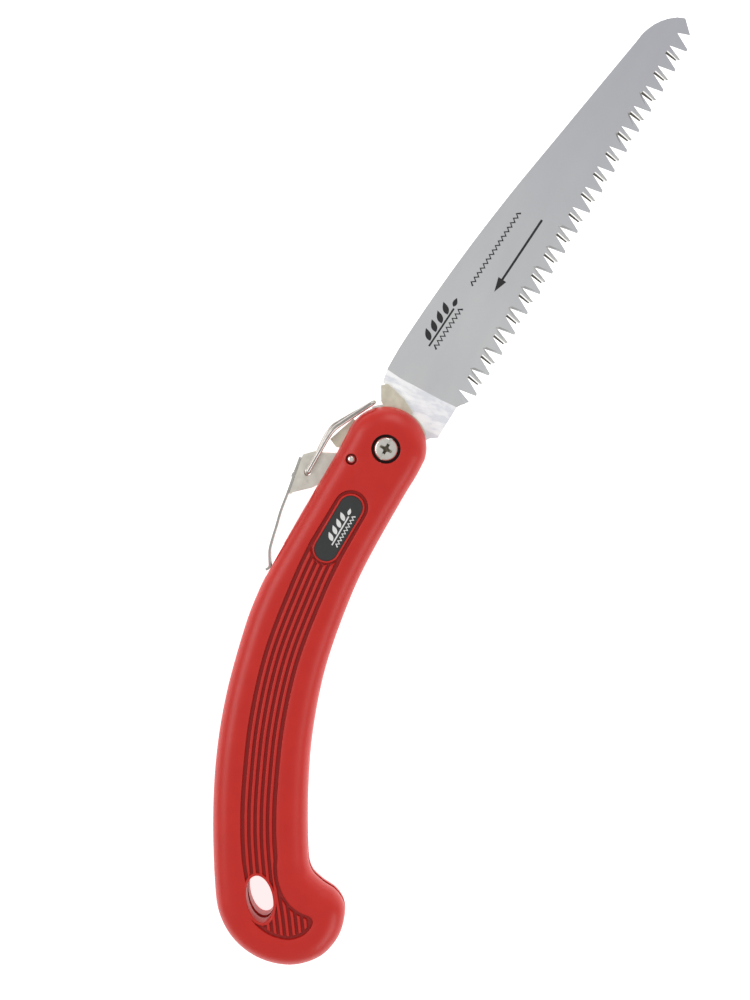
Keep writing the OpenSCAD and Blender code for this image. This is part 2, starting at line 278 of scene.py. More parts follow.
def lathe(profile, sides=96, middle=(0, 0)):
    """A turned solid from (radius, z) points that start and end on the axis."""
    turn = np.radians(np.arange(sides) * 360 / sides)
    verts, rows = [], []
    for radius, z in profile:
        if radius < 1e-6:
            rows.append([len(verts)] * sides)
            verts.append((middle[0], middle[1], z))
        else:
            rows.append(list(range(len(verts), len(verts) + sides)))
            ring = [(middle[0] + radius * math.cos(a), middle[1] + radius * math.sin(a), z) for a in turn]
            verts += ring
    faces = []
    for low, high in zip(rows, rows[1:]):
        for i in range(sides):
            j = (i + 1) % sides
            face = [low[i], low[j], high[j], high[i]]
            face = [v for k, v in enumerate(face) if v not in face[:k]]
            if len(face) > 2:
                faces.append(face)
    return np.array(verts, float), faces


def tube(path, radius, sides=20):
    """A round rod along 3-D points, closed with slightly rounded ends."""
    path = np.asarray(path, float)
    ahead = np.gradient(path, axis=0)
    ahead /= np.linalg.norm(ahead, axis=1)[:, None]
    u = np.cross(ahead[0], (0.6, 0.8, 0.1))
    turn = np.radians(np.arange(sides) * 360 / sides)
    verts, faces = [], []

    def ring(point, u, v, r):
        verts.extend(point + r * (np.cos(a) * u + np.sin(a) * v) for a in turn)

    ends = ((0.25, 0.0), (0.8, 0.12), (1.0, 0.35))
    rows = []
    for i, (point, t) in enumerate(zip(path, ahead)):
        u = u - (u @ t) * t
        u /= np.linalg.norm(u)
        v = np.cross(t, u)
        if i == 0:
            for scale, along in ends:
                ring(point + t * radius * along, u, v, radius * scale)
                rows.append(len(verts) - sides)
        elif i == len(path) - 1:
            for scale, along in ends[::-1]:
                ring(point - t * radius * along, u, v, radius * scale)
                rows.append(len(verts) - sides)
        else:
            ring(point, u, v, radius)
            rows.append(len(verts) - sides)
    for low, high in zip(rows, rows[1:]):
        for i in range(sides):
            j = (i + 1) % sides
            faces.append([low + i, low + j, high + j, high + i])
    faces.append([rows[0] + i for i in range(sides)][::-1])
    faces.append([rows[-1] + i for i in range(sides)])
    return np.array(verts), faces


def bent_path(corners, bend, steps=6):
    """A path through corners, each rounded over the length bend."""
    corners = [np.asarray(c, float) for c in corners]
    out = [corners[0]]
    for a, p, b in zip(corners, corners[1:], corners[2:]):
        d0 = min(bend, np.linalg.norm(a - p) / 2.1)
        d1 = min(bend, np.linalg.norm(b - p) / 2.1)
        q0 = p + d0 * (a - p) / np.linalg.norm(a - p)
        q1 = p + d1 * (b - p) / np.linalg.norm(b - p)
        out += [(1 - t)**2 * q0 + 2 * t * (1 - t) * p + t * t * q1 for t in np.linspace(0, 1, steps)]
    return np.array(out + [corners[-1]])


def turned_rod(radius, a, b, sides=32):
    """A rod between two points of the middle plane."""
    a, b = np.array((*a, 0.0)), np.array((*b, 0.0))
    verts, faces = cylinder(radius, 0, np.linalg.norm(b - a), sides=sides)
    ahead = (b - a) / np.linalg.norm(b - a)
    left = np.cross((0, 0, 1), ahead)
    return a + verts @ np.array([left, np.cross(ahead, left), ahead]), faces


def mesh_of(solid, name="work"):
    """A Blender mesh of a solid, which is a pair of points and faces."""
    verts, faces = solid
    mesh = bpy.data.meshes.new(name)
    mesh.from_pydata([tuple(v) for v in verts], [], faces)
    mesh.update()
    return mesh


def worked(solid, steps):
    """The solid after boolean steps, each ("DIFFERENCE" or "UNION", solid)."""
    body = bpy.data.objects.new("work", mesh_of(solid))
    bpy.context.scene.collection.objects.link(body)
    for operation, tool in steps:
        other = bpy.data.objects.new("tool", mesh_of(tool))
        bpy.context.scene.collection.objects.link(other)
        change = body.modifiers.new("change", "BOOLEAN")
        change.operation = operation
        change.solver = "MANIFOLD"
        change.object = other
        bpy.context.view_layer.update()
        changed = body.evaluated_get(bpy.context.evaluated_depsgraph_get())
        result = bpy.data.meshes.new_from_object(changed)
        body.modifiers.remove(change)
        body.data = result
        bpy.data.objects.remove(other)
    bm = bmesh.new()
    bm.from_mesh(body.data)
    bmesh.ops.remove_doubles(bm, verts=bm.verts, dist=1e-3)
    bmesh.ops.dissolve_degenerate(bm, edges=bm.edges, dist=1e-4)
    bm.to_mesh(body.data)
    bm.free()
    mesh = body.data
    verts = np.zeros(len(mesh.vertices) * 3)
    mesh.vertices.foreach_get("co", verts)
    faces = [list(p.vertices) for p in mesh.polygons]
    bpy.data.objects.remove(body)
    return verts.reshape(-1, 3), faces


def cut(solid, *tools):
    """The solid less each tool."""
    return worked(solid, [("DIFFERENCE", t) for t in tools])


def joined(solid, *others):
    """The solids as one."""
    return worked(solid, [("UNION", o) for o in others])


def flipped(solid):
    """The solid mirrored through the middle plane."""
    verts, faces = solid
    return verts * (1, 1, -1), [f[::-1] for f in faces]


def piece(name, solid, body, materials, stands_for=(), choose=None, bevel=0.0, sharp=32,
          shade=None):
    """A finished piece of the object. choose(middles, normals) gives each face's material,
    and shade(points) says how far each point takes on its material's shaded colour."""
    mesh = mesh_of(solid, name)
    for m in materials:
        mesh.materials.append(m)
    if choose is not None:
        middle = np.array([tuple(p.center) for p in mesh.polygons])
        normal = np.array([tuple(p.normal) for p in mesh.polygons])
        mesh.polygons.foreach_set("material_index", choose(middle, normal).astype(np.int32))
    if shade is not None:
        layer = mesh.color_attributes.new("shade", "FLOAT_COLOR", "POINT")
        values = shade(np.asarray(solid[0], float))
        layer.data.foreach_set("color", np.c_[values, values, values, np.ones(len(values))].ravel())
    mesh.transform(TO_FRAME)
    mesh.polygons.foreach_set("use_smooth", np.ones(len(mesh.polygons), bool))
    mesh.set_sharp_from_angle(angle=math.radians(sharp))
    mesh.update()
    obj = bpy.data.objects.new(name, mesh)
    bpy.context.scene.collection.objects.link(obj)
    if bevel:
        edge = obj.modifiers.new("edge", "BEVEL")
        edge.width = bevel * MM
        edge.segments = 2
        edge.limit_method = "ANGLE"
        edge.angle_limit = math.radians(35)
    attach(obj, body)
    if stands_for:
        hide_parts(*stands_for)


# ---------------------------------------------------------------- materials


def material(name, colour, metallic=0.0, roughness=0.4, specular=0.5, second=None, mottle=600,
             spread=0.25, rough_spread=0.06, bump=0.05, bump_scale=2500, stretch=(1, 1, 1), shaded=None,
             glow=0.0):
    """A procedural finish: colour mottled with a second one, uneven gloss and a fine bump.
    shaded is the colour where the piece's shade is 1, and glow lifts the finish evenly."""
    m = bpy.data.materials.new(name)
    m.use_nodes = True
    nodes, links = m.node_tree.nodes, m.node_tree.links
    shader = nodes["Principled BSDF"]
    shader.inputs["Metallic"].default_value = metallic
    shader.inputs["Specular IOR Level"].default_value = specular
    shader.inputs["Emission Color"].default_value = (1, 1, 1, 1)
    shader.inputs["Emission Strength"].default_value = glow
    place = nodes.new("ShaderNodeTexCoord")
    turn = nodes.new("ShaderNodeMapping")
    turn.inputs["Scale"].default_value = stretch
    links.new(place.outputs["Object"], turn.inputs["Vector"])

    def noise(scale, detail):
        n = nodes.new("ShaderNodeTexNoise")
        n.inputs["Scale"].default_value = scale
        n.inputs["Detail"].default_value = detail
        links.new(turn.outputs["Vector"], n.inputs["Vector"])
        return n

    patches = noise(mottle, 4)
    tint = nodes.new("ShaderNodeValToRGB")
    tint.color_ramp.elements[0].position = 0.5 - spread
    tint.color_ramp.elements[1].position = 0.5 + spread
    dark = second or tuple(c * 0.88 for c in colour)
    tint.color_ramp.elements[0].color = (*dark, 1)
    tint.color_ramp.elements[1].color = (*colour, 1)
    links.new(patches.outputs["Fac"], tint.inputs["Fac"])
    result = tint.outputs["Color"]
    if shaded is not None:
        layer = nodes.new("ShaderNodeVertexColor")
        layer.layer_name = "shade"
        mix = nodes.new("ShaderNodeMix")
        mix.data_type = "RGBA"
        mix.inputs["B"].default_value = (*shaded, 1)
        links.new(layer.outputs["Color"], mix.inputs["Factor"])
        links.new(result, mix.inputs["A"])
        result = mix.outputs["Result"]
    links.new(result, shader.inputs["Base Color"])
    gloss = noise(mottle * 2.3, 3)
    level = nodes.new("ShaderNodeMapRange")
    level.inputs["To Min"].default_value = roughness - rough_spread
    level.inputs["To Max"].default_value = roughness + rough_spread
    links.new(gloss.outputs["Fac"], level.inputs["Value"])
    links.new(level.outputs["Result"], shader.inputs["Roughness"])
    grain = noise(bump_scale, 2)
    relief = nodes.new("ShaderNodeBump")
    relief.inputs["Strength"].default_value = bump
    relief.inputs["Distance"].default_value = 0.0001
    links.new(grain.outputs["Fac"], relief.inputs["Height"])
    links.new(relief.outputs["Normal"], shader.inputs["Normal"])
    return m


# The red's shaded colour is painted shade for the grooves of the grip.
RED = material("red_plastic", (0.62, 0.022, 0.014), second=(0.58, 0.019, 0.012),
               shaded=(0.34, 0.011, 0.009), roughness=0.36, specular=0.45, mottle=120, bump=0.06,
               bump_scale=4000)
# The plate's shaded colour is painted shade that darkens the blade towards its tip.
SATIN = material("satin_plate", (0.72, 0.73, 0.73), second=(0.67, 0.68, 0.695),
                 shaded=(0.54, 0.545, 0.585), metallic=0.5, roughness=0.42, mottle=90, bump=0.04,
                 bump_scale=1500, stretch=(0.3, 1, 1))
# Painted light: the bare tang is near white, hardly metallic, and glows a little.
BARE_LIT = material("bare_steel_painted_light", (1.0, 1.0, 1.0), second=(0.74, 0.76, 0.81), metallic=0.1, roughness=0.3,
                mottle=420, spread=0.12, bump=0.15, bump_scale=900, stretch=(1, 0.35, 1), glow=0.1)
GROUND = material("ground_teeth", (0.55, 0.55, 0.54), second=(0.47, 0.47, 0.46), metallic=0.6,
                  roughness=0.34, mottle=500, bump=0.1, bump_scale=3000, stretch=(1, 0.2, 1))
DARK_GROUND = material("ground_facet", (0.17, 0.155, 0.13), second=(0.13, 0.12, 0.10), metallic=0.8,
                       roughness=0.35, mottle=500, bump=0.08, bump_scale=3000)
# Painted highlight: this facet of each sharp tooth is near white and glows.
GLINT_FACET = material("facet_painted_glint", (1.0, 1.0, 0.98), second=(0.95, 0.95, 0.93), metallic=0.1,
                         roughness=0.3, mottle=500, bump=0.05, bump_scale=3000, glow=0.25)
INK = material("black_ink", (0.018, 0.018, 0.02), roughness=0.5, mottle=400, bump=0.02)
FRAME_SHEET = material("frame_sheet", (0.94, 0.88, 0.72), second=(0.74, 0.69, 0.55), metallic=0.6,
                       roughness=0.36, mottle=350, bump=0.1, bump_scale=2200)
LEVER_SHEET = material("lever_sheet", (0.97, 0.93, 0.83), second=(0.78, 0.74, 0.66), metallic=0.6,
                       roughness=0.33, mottle=300, bump=0.1, bump_scale=1800)
NICKEL = material("bright_nickel", (0.97, 0.95, 0.88), second=(0.86, 0.84, 0.77), metallic=0.8,
                  roughness=0.2, rough_spread=0.05, mottle=500, bump=0.05, bump_scale=1800)
WIRE_STEEL = material("wire_steel", (0.60, 0.565, 0.53), second=(0.48, 0.45, 0.42), metallic=1.0,
                      roughness=0.24, mottle=500, bump=0.05, bump_scale=1800)
PALE_LEAF = material("leaf_steel", (0.72, 0.71, 0.67), second=(0.60, 0.59, 0.55), metallic=0.9,
                     roughness=0.3, mottle=300, bump=0.04, bump_scale=1200, stretch=(1, 1, 4))
# Painted shade: the washer's near-black colour stands in for the shade in the ring round the screw's head.
WASHER_SHADE = material("washer_painted_shade", (0.035, 0.022, 0.020), metallic=0.6, roughness=0.5, mottle=500)
PLAIN_STEEL = material("plain_steel", (0.52, 0.51, 0.49), metallic=0.9, roughness=0.35, mottle=400,
                       bump=0.06)
# Painted shade: the dark finish deep in the screw head's recess.
RECESS = material("screw_recess_painted_shade", (0.26, 0.23, 0.17), second=(0.09, 0.075, 0.055), metallic=0.9,
                  mottle=900, bump=0.1)
BADGE = material("badge_charcoal", (0.036, 0.038, 0.038), second=(0.030, 0.032, 0.032), roughness=0.42,
                 mottle=700, bump=0.08, bump_scale=3500)
WHITE = material("badge_white", (0.86, 0.86, 0.85), roughness=0.45, mottle=500, bump=0.03)

# ---------------------------------------------------------------- handle shells

NOSE_R = 17.5
NOSE_MIDDLE = (0.3, 0.4)
BACK = [(-10, 19), (-30, 21.7), (-66, 26.2), (-80, 27.1), (-96, 26.5), (-124, 23), (-150, 17),
        (-176, 8), (-203, -4)]
BUTT = [(-215.5, -11.5), (-223.5, -22), (-226.6, -35), (-224, -48.5), (-216, -58.5), (-206, -62.6),
        (-197, -62.4)]
HOOK = [(-190, -59.6), (-186, -54), (-184.4, -46.8), (-181.2, -40.3), (-172.4, -35.1)]
BELLY = [(-150, -25.8), (-126, -18), (-98, -12.4), (-68, -10.6), (-47, -11.3), (-18, -14.6),
         (-6, -16.4)]
nose = arc(NOSE_R, -85, 92, 60, NOSE_MIDDLE)
outline = np.r_[nose[:-1], smooth([nose[-1], *BACK, *BUTT, *HOOK, *BELLY, nose[0]], 7)[:-1]]

# The rounded edge reaches this far in and this far down the side
EDGE_INSET = 9.0
EDGE_H = 7.5

# The ribbed panel lies along this middle line, from the badge to the foot
BADGE_ENDS = np.array([(-28.7, 4.2), (-49.2, 7.0)])
BADGE_R = 5.1
PANEL_LINE = [(-28.7, 4.2), (-49.2, 7), (-68.3, 7.8), (-98.9, 6.9), (-127.9, 1.9), (-155.8, -6.3),
              (-172.6, -12.6), (-184.5, -18.2), (-196.9, -24.9), (-206.4, -30.7), (-214.5, -35.2),
              (-222.9, -40.1), (-231, -45.2)]
PANEL_HALF = 8.0
FOOT = [(-198.3, -17.3), (-205.5, -20.4), (-210.9, -25.6), (-213.4, -32.6), (-213.5, -38.5),
        (-212.1, -43.8), (-208.5, -48.1), (-204.7, -50), (-201.1, -50.2), (-199, -48.2), (-198.9, -44.6),
        (-198.5, -41), (-196.9, -36.9), (-193.7, -32.6), (-189.3, -29), (-184.5, -26.5)]
middle_line = smooth(PANEL_LINE, 10)
strip_part = smooth(PANEL_LINE[1:8], 10)
badge_turn = heading(BADGE_ENDS[1], BADGE_ENDS[0])
panel_front = arc(PANEL_HALF - 0.35, badge_turn - 90, badge_turn + 90, 20, BADGE_ENDS[0])
panel_left = beside(strip_part, -PANEL_HALF)
panel_right = beside(strip_part, PANEL_HALF)
panel = np.r_[panel_front, panel_left, smooth(FOOT, 4), panel_right[-2::-1]]

# Slopes of the ribs and of the panel's walls, as (distance, share of the depth)
RIB_PROFILE = [(0.32, 0), (0.5, 0.08), (0.7, 0.5), (0.88, 1)]
WALL_PROFILE = [(0, 0), (0.15, 0.07), (0.35, 0.45), (0.55, 1)]
RIB_NUMBERS = range(-3, 8)
RIB_PITCH = 2.68
RIB_DEPTH = 1.15
# The ribs stop this far inside the panel's edge, and this far outside the ring round the badge
RIB_END = 1.95
RING_GAP = 1.3
RING_R = BADGE_R + 0.55
RIB_CLEAR = 0.7

# The hanging hole: its rounded rim, and the plain border that the pattern leaves round it
HOLE_MIDDLE = (-200.6, -24.8)
HOLE_TURN = 32
HOLE_LONG, HOLE_SHORT = 10.4, 5.75
HOLE_RIM = 0.6
HOLE_BORDER = 0.9
hole = spun(arc(1, 0, 360, 72)[:-1] * (HOLE_LONG, HOLE_SHORT), HOLE_TURN, HOLE_MIDDLE)

PIN = np.array((-9.75, 11.95))
FRAME_SCREWS = [(-30, 14.5), (-46, 15)]
GRIP_SCREWS = [(-95, 12), (-140, 1), (-178, -10)]
# Radii of the bores and seats; the nut's is measured across its flats
PIVOT_BORE = 3.05
PIN_BORE = 1.84
PIN_SEAT = 2.4
HEAD_SEAT = 6.25
SCREW_SEAT = 3.1
NUT_FLAT = 5.1

# Openings in a face: outline of the wall, and radius of the rounded rim
OPEN_BADGE = (capsule(*BADGE_ENDS, BADGE_R + 0.05), 0.15)
OPEN_HOLE = (hole, HOLE_RIM)
OPEN_HEAD = (arc(HEAD_SEAT, 0, 360, 64)[:-1], 0.25)
OPEN_PIN = (arc(PIN_SEAT, 0, 360, 40, PIN)[:-1], 0.35)

# Spaces inside a shell, each with its height over the middle plane. They start BELOW that plane,
# and an opening goes on to ABOVE the face. FAR is outside the handle.
FAR, BELOW, ABOVE = 60, -1, HALF_T + 2
FOLD_TURN = 156.5
BLADE_REACH = 222.2
SLOT_H = 1.15
FRAME_POCKET = [(FAR, 40), (-34, 40), (-34, 20.2), (-50.2, 20.5), (-52.3, 18.2), (-52.3, 9.8),
                (-20, -8.4), (-20, -40), (FAR, -40)]
FRAME_POCKET_H = 2.15
LEVER_POCKET = [(-5.5, 40), (-38, 40), (-38, 24.5), (-32, 18.5), (-15, 7), (-8, 6.5), (-5.5, 8.5)]
LEVER_POCKET_H = 3.7
TAIL_RECESS = [(-54.5, 40), (-71, 40), (-71, 18.6), (-63, 18.6), (-54.5, 23)]
TAIL_RECESS_H = 4
HOLE_GAP = 2.6
HOLE_GAP_H = 1.9


def opening_distance(points, opening):
    """Distance of each point outside an opening's wall."""
    return -depth_in(points, opening[0])


def rib_recess(points):
    """How far the grip pattern lies below the plain face, from 0 to 1."""
    in_panel = depth_in(points, panel)
    badge = from_line(points, BADGE_ENDS)[0]
    across, side = from_line(points, middle_line)
    across *= side
    to_rib = np.abs(across - RIB_PITCH * np.round(across / RIB_PITCH))
    room = np.minimum(in_panel - RIB_END, badge - RING_R - RING_GAP)
    crest = np.maximum(to_rib, RIB_PROFILE[1][0] - room)
    border = opening_distance(points, OPEN_HOLE) - HOLE_BORDER
    walls = np.minimum(in_panel, np.minimum(badge - RING_R, border))
    return np.minimum(ramp(crest, RIB_PROFILE), ramp(walls, WALL_PROFILE))


def face_height(points, openings):
    """Height of a shell's outer face above the middle plane."""
    d = np.clip(from_line(points, outline, closed=True)[0], 0, EDGE_INSET)
    z = HALF_T - EDGE_H + EDGE_H * np.sqrt(np.clip(1 - (1 - d / EDGE_INSET)**2, 0, 1))
    drop = RIB_DEPTH * rib_recess(points)
    for opening in openings:
        r = opening[1]
        out = np.clip(opening_distance(points, opening), 0, r)
        drop = np.maximum(drop, r - np.sqrt(np.clip(r * r - (r - out)**2, 0, None)))
    return z - drop


def face_curves(openings):
    """Every line on the face that a slope starts or ends at."""
    curves = []
    for k in range(1, 10):
        inset = EDGE_INSET * (1 - math.cos(math.radians(10 * k)))
        curves.append((beside(outline, inset, closed=True), True))
    for inset in [w for w, _ in WALL_PROFILE] + [RIB_END + RIB_PROFILE[1][0] - w for w, _ in RIB_PROFILE]:
        curves.append((beside(panel, inset, closed=True), True))
    for k in RIB_NUMBERS:
        for w in [s * w for s in (-1, 1) for w, _ in RIB_PROFILE]:
            line = beside(middle_line, k * RIB_PITCH + w)
            keep = depth_in(line, panel) > RIB_CLEAR
            keep &= opening_distance(line, OPEN_HOLE) > HOLE_BORDER
            keep &= from_line(line, BADGE_ENDS)[0] > RING_R + RIB_CLEAR
            curves += [(r, False) for r in runs(line, keep)]
    rings = [w for w, _ in WALL_PROFILE] + [RING_GAP + RIB_PROFILE[1][0] - w for w, _ in RIB_PROFILE]
    curves += [(capsule(*BADGE_ENDS, RING_R + w), True) for w in rings]
    curves += [(beside(hole, -HOLE_BORDER - w, closed=True), True) for w, _ in WALL_PROFILE]
    for wall, rim in openings:
        for part in (0, 0.12, 0.42, 1):
            curves.append((beside(wall, -rim * part, closed=True), True))
    return curves


def slot_outline():
    """Space in the handle that the folding blade sweeps, open at the belly."""
    low = [(0, -16), (12, -22), (30, -28)]
    return spun(np.r_[low, arc(BLADE_REACH, -14.4, 15.6, 16), [(0, FAR)]], -FOLD_TURN)


def half_shell(openings, seats):
    """The front half of the handle, with the openings of one face and its screws' seats."""
    block = dome(outline, face_curves(openings), lambda p: face_height(p, openings), [(0, 0.25), (0.18, 0)])
    spaces = [
        prism(slot_outline(), BELOW, SLOT_H),
        prism(FRAME_POCKET, BELOW, FRAME_POCKET_H),
        prism(LEVER_POCKET, BELOW, LEVER_POCKET_H),
        prism(TAIL_RECESS, BELOW, TAIL_RECESS_H),
        prism(beside(hole, -HOLE_GAP, closed=True), BELOW, HOLE_GAP_H),
        prism(hole, 2 * BELOW, ABOVE),
        cylinder(PIVOT_BORE, 2 * BELOW, ABOVE),
        cylinder(PIN_BORE, 2 * BELOW, ABOVE, PIN),
        cylinder(PIN_SEAT, HALF_T - 4, ABOVE, PIN),
        prism(OPEN_BADGE[0], HALF_T - 1.3, ABOVE),
    ]
    return cut(block, *spaces, *seats)


def groove_shade(verts):
    """Painted shade that sits in the grooves of the grip, near the outer face only."""
    value = rib_recess(verts[:, :2])
    value[np.abs(verts[:, 2]) < HALF_T - 2.2] = 0
    return np.clip(value, 0, 1)


def make_shells():
    """The front shell with the screw's head in it, and the back one with the nut and five screws."""
    front = half_shell([OPEN_BADGE, OPEN_HOLE, OPEN_HEAD, OPEN_PIN], [cylinder(HEAD_SEAT, 5.4, ABOVE)])
    hexagon = arc(NUT_FLAT / math.cos(math.radians(30)), 30, 330, 5)
    seats = [prism(hexagon, 3.6, ABOVE)]
    seats += [cylinder(SCREW_SEAT, HALF_T - 3.2, ABOVE, p) for p in FRAME_SCREWS + GRIP_SCREWS]
    back = flipped(half_shell([OPEN_BADGE, OPEN_HOLE, OPEN_PIN], seats))
    for face, solid in (("front", front), ("back", back)):
        piece("shell_" + face, solid, "handle", [RED], ["handle_shell_" + face],
              shade=groove_shade)


make_shells()

# ---------------------------------------------------------------- blade

BLADE_HALF = 0.6
TANG_R = 13.2
LUG_R = 18.9
BUSH_R = 4.55
TOOTH_A = np.array((35.96, -26.92))
TOOTH_Z = np.array((203.51, -52.16))
PAIRS = 17
# The tips bulge a little past a straight line, and the pitch shrinks a little towards the tip
EDGE_BULGE = 0.6
PITCH_GAIN = 1.35
along = unit(TOOTH_Z - TOOTH_A)
outward = np.array((along[1], -along[0]))
pair_pitch = np.hypot(*(TOOTH_Z - TOOTH_A)) / PAIRS


def on_edge(i, s, h):
    """A point by its pair of teeth, its place along the edge and its height over the tips' curve."""
    t = np.clip(i / PAIRS + s / pair_pitch / PAIRS, 0, 1)
    swell = 4 * t * (1 - t)
    return TOOTH_A + (i * pair_pitch + s + PITCH_GAIN * swell) * along + (h + EDGE_BULGE * swell) * outward


# One pair of teeth from heel to tip, as (place along the edge, height): the wide gullet, the blunt
# tooth, the narrow gullet, and the sharp tooth, whose side bends at HUMP
WIDE = (-2.0, -7.7)
BLUNT_0 = (-0.55, 0.0)
BLUNT_1 = (0.5, -0.3)
NARROW = (4.1, -7.4)
HUMP = (3.6, -2.1)
SHARP = (5.35, -0.55)
# Inner edges of the two facets ground beside that side
DARK_ROOT, DARK_END = (5.1, -7.3), (4.15, -1.9)
BRIGHT_ROOT, BRIGHT_END = (5.6, -7.2), (4.7, -1.2)

tooth_line = []
for i in range(PAIRS + 1):
    tooth_line += [on_edge(i, *WIDE), on_edge(i, *BLUNT_0), on_edge(i, *BLUNT_1), on_edge(i, *NARROW)]
    if i < PAIRS:
        tooth_line += [on_edge(i, *HUMP), on_edge(i, *SHARP)]

HEEL = [(11.1, -15.6), (12.6, -18.7), (27.9, -21.1), (29.3, -22.2), (30.4, -23.6), (31.2, -24.1),
        (31.9, -25.2)]
TIP = [(209.9, -50.8), (215.6, -46.1), (214.7, -42.8), (212.8, -39.6), (210.8, -37.2), (208.3, -35.0),
       (205.6, -33.3), (203, -32)]
SPINE = smooth([(199.3, -31), (173.6, -23.1), (147.7, -15.2), (121.7, -7.3), (96, -0.3), (70.5, 5.8),
                (45.4, 10.9), (31.7, 12.8)], 5)
SHOULDER = [(25.6, 12.4), (25.2, 11.3), (18.6, 8.4), (17.5, 7.2)]
blade_outline = np.r_[arc(TANG_R, 60, 300.4, 60), HEEL, tooth_line, TIP, SPINE, SHOULDER,
                      arc(LUG_R, 22, 42, 6)]
COATING = [(32.0, 16.0), (30.0, 6.3), (28.1, -14.0), (27.7, -24.0)]
# Bevel of the teeth's edges, and the height below the tips at which it has run out
BEVEL_W = 1.0
BEVEL_UPPER, BEVEL_LOWER = 0.85, 0.7
BEVEL_FOOT = -8.6
# Stretches of the blade, by x, that are bevelled, set sideways and given facets
BEVELLED = (33, 209.5)
SET = (30, 211)
FACETED_FROM = 36
# Sideways set at the tips, and the height at which it starts
SET_HALF = 0.30
SET_FROM = -6.5


def tooth_frame(points):
    """Place along its pair, height over the tips' line, and whether it is on the sharp tooth."""
    rel = points - TOOTH_A
    t = np.clip(rel @ along / (pair_pitch * PAIRS), 0, 1)
    swell = 4 * t * (1 - t)
    s = rel @ along - PITCH_GAIN * swell
    h = rel @ outward - EDGE_BULGE * swell
    place = np.mod(s - WIDE[0], pair_pitch) + WIDE[0]
    # The line between the two teeth starts at the narrow gullet and leans towards the tip
    parting = NARROW[0] + 0.068 * (h + 7.6)
    return place, h, place > parting


def between(values, span):
    """Whether each value lies inside a span."""
    return (values > span[0]) & (values < span[1])


def left_of(points, a, b):
    """Distance of (place, height) points to the left of the line from a to b."""
    ahead = unit(np.subtract(b, a))
    rel = points - np.asarray(a)
    return ahead[0] * rel[:, 1] - ahead[1] * rel[:, 0]


def facet_of(points):
    """Facet of the sharp tooth at each point: 0 none, 1 bright with a painted highlight, 2 dark."""
    place, h, _ = tooth_frame(points)
    at = np.c_[place, h]
    on = (h > NARROW[1]) & (place > HUMP[0] - 0.2) & (points[:, 0] > FACETED_FROM)
    on &= left_of(at, NARROW, HUMP) < 0.02
    bright = on & (left_of(at, BRIGHT_ROOT, BRIGHT_END) > 0)
    dark = on & (left_of(at, DARK_ROOT, DARK_END) > 0) & (h < HUMP[1] + 0.3)
    return np.where(dark, 2, np.where(bright, 1, 0))


def bevels(points, upper):
    """How far the ground edges of the teeth lie below the blade's face."""
    _, h, sharp_tooth = tooth_frame(points)
    d = from_line(points, blade_outline, closed=True)[0]
    reach = np.clip((h - BEVEL_FOOT) / 1.6, 0, 1)
    ground = (sharp_tooth if upper else ~sharp_tooth) & between(points[:, 0], BEVELLED)
    depth = BEVEL_UPPER if upper else BEVEL_LOWER
    return np.where(ground, depth * np.clip(1 - d / BEVEL_W, 0, 1) * reach, 0)


def tooth_set(points):
    """Sideways set of the teeth: the two of a pair lean opposite ways."""
    _, h, sharp_tooth = tooth_frame(points)
    rise = np.clip((h - SET_FROM) / -SET_FROM, 0, 1)
    lean = np.where(sharp_tooth, -SET_HALF, SET_HALF)
    return np.where(between(points[:, 0], SET), lean * rise**1.5, 0)


def printed_leaf(base, length, width, turn, steps=8):
    """Outline of a leaf that grows from base at an angle."""
    t = np.linspace(0, 1, steps + 1)
    half = width / 2 * np.sin(np.pi * t**0.8)
    over = np.c_[t * length, half]
    under = np.c_[t * length, -half][1:-1]
    return spun(np.r_[under, over[::-1]], turn, base)


def band(line, width):
    """A line of even width as an outline, anticlockwise."""
    line = np.asarray(line, float)
    return np.r_[beside(line, -width / 2), beside(line, width / 2)[::-1]]


def zigzag(start, direction, teeth, pitch, height, width):
    """A row of saw teeth as one thick line."""
    direction = unit(direction)
    up = np.array((-direction[1], direction[0]))
    points = [np.asarray(start) + direction * pitch * i / 2 + up * (height if i % 2 else 0)
              for i in range(2 * teeth + 1)]
    return band(points, width)


def emblem(middle, turn, size):
    """A generic twig with leaves over a row of saw teeth."""
    shapes = [printed_leaf((x, 0.25), 4.3, 1.9, 52) for x in (-6.4, -3.1, 0.2, 3.5)]
    shapes += [printed_leaf((6.6, 0.1), 3.0, 1.5, 12), band([(-8.0, -0.35), (6.2, -0.35)], 0.6)]
    shapes.append(zigzag((-7.6, -2.9), (1, 0), 9, 1.68, 1.3, 0.62))
    return [spun(shape * size, turn, middle) for shape in shapes]


ARROW_TAIL, ARROW_TIP = np.array((115.0, -23.5)), np.array((79.3, -16.6))
ARROW_HEAD, ARROW_HALF, SHAFT_HALF = 6.2, 2.0, 0.5


def arrow():
    """A plain arrow that shows the cutting stroke."""
    ahead = unit(ARROW_TIP - ARROW_TAIL)
    left = np.array((-ahead[1], ahead[0]))
    neck = ARROW_TIP - ARROW_HEAD * ahead
    shaft, barb = SHAFT_HALF * left, ARROW_HALF * left
    return np.array([ARROW_TAIL - shaft, neck - shaft, neck - barb, ARROW_TIP, neck + barb,
                     neck + shaft, ARROW_TAIL + shaft])


# The emblem and the row of printed teeth read from the handle towards the tip
PRINTS = [arrow(), *emblem((58.0, -1.5), heading(ARROW_TAIL, ARROW_TIP) + 180, 1.35),
          zigzag((78.0, -7.2), ARROW_TAIL - ARROW_TIP, 16, 2.3, 1.5, 0.8)]


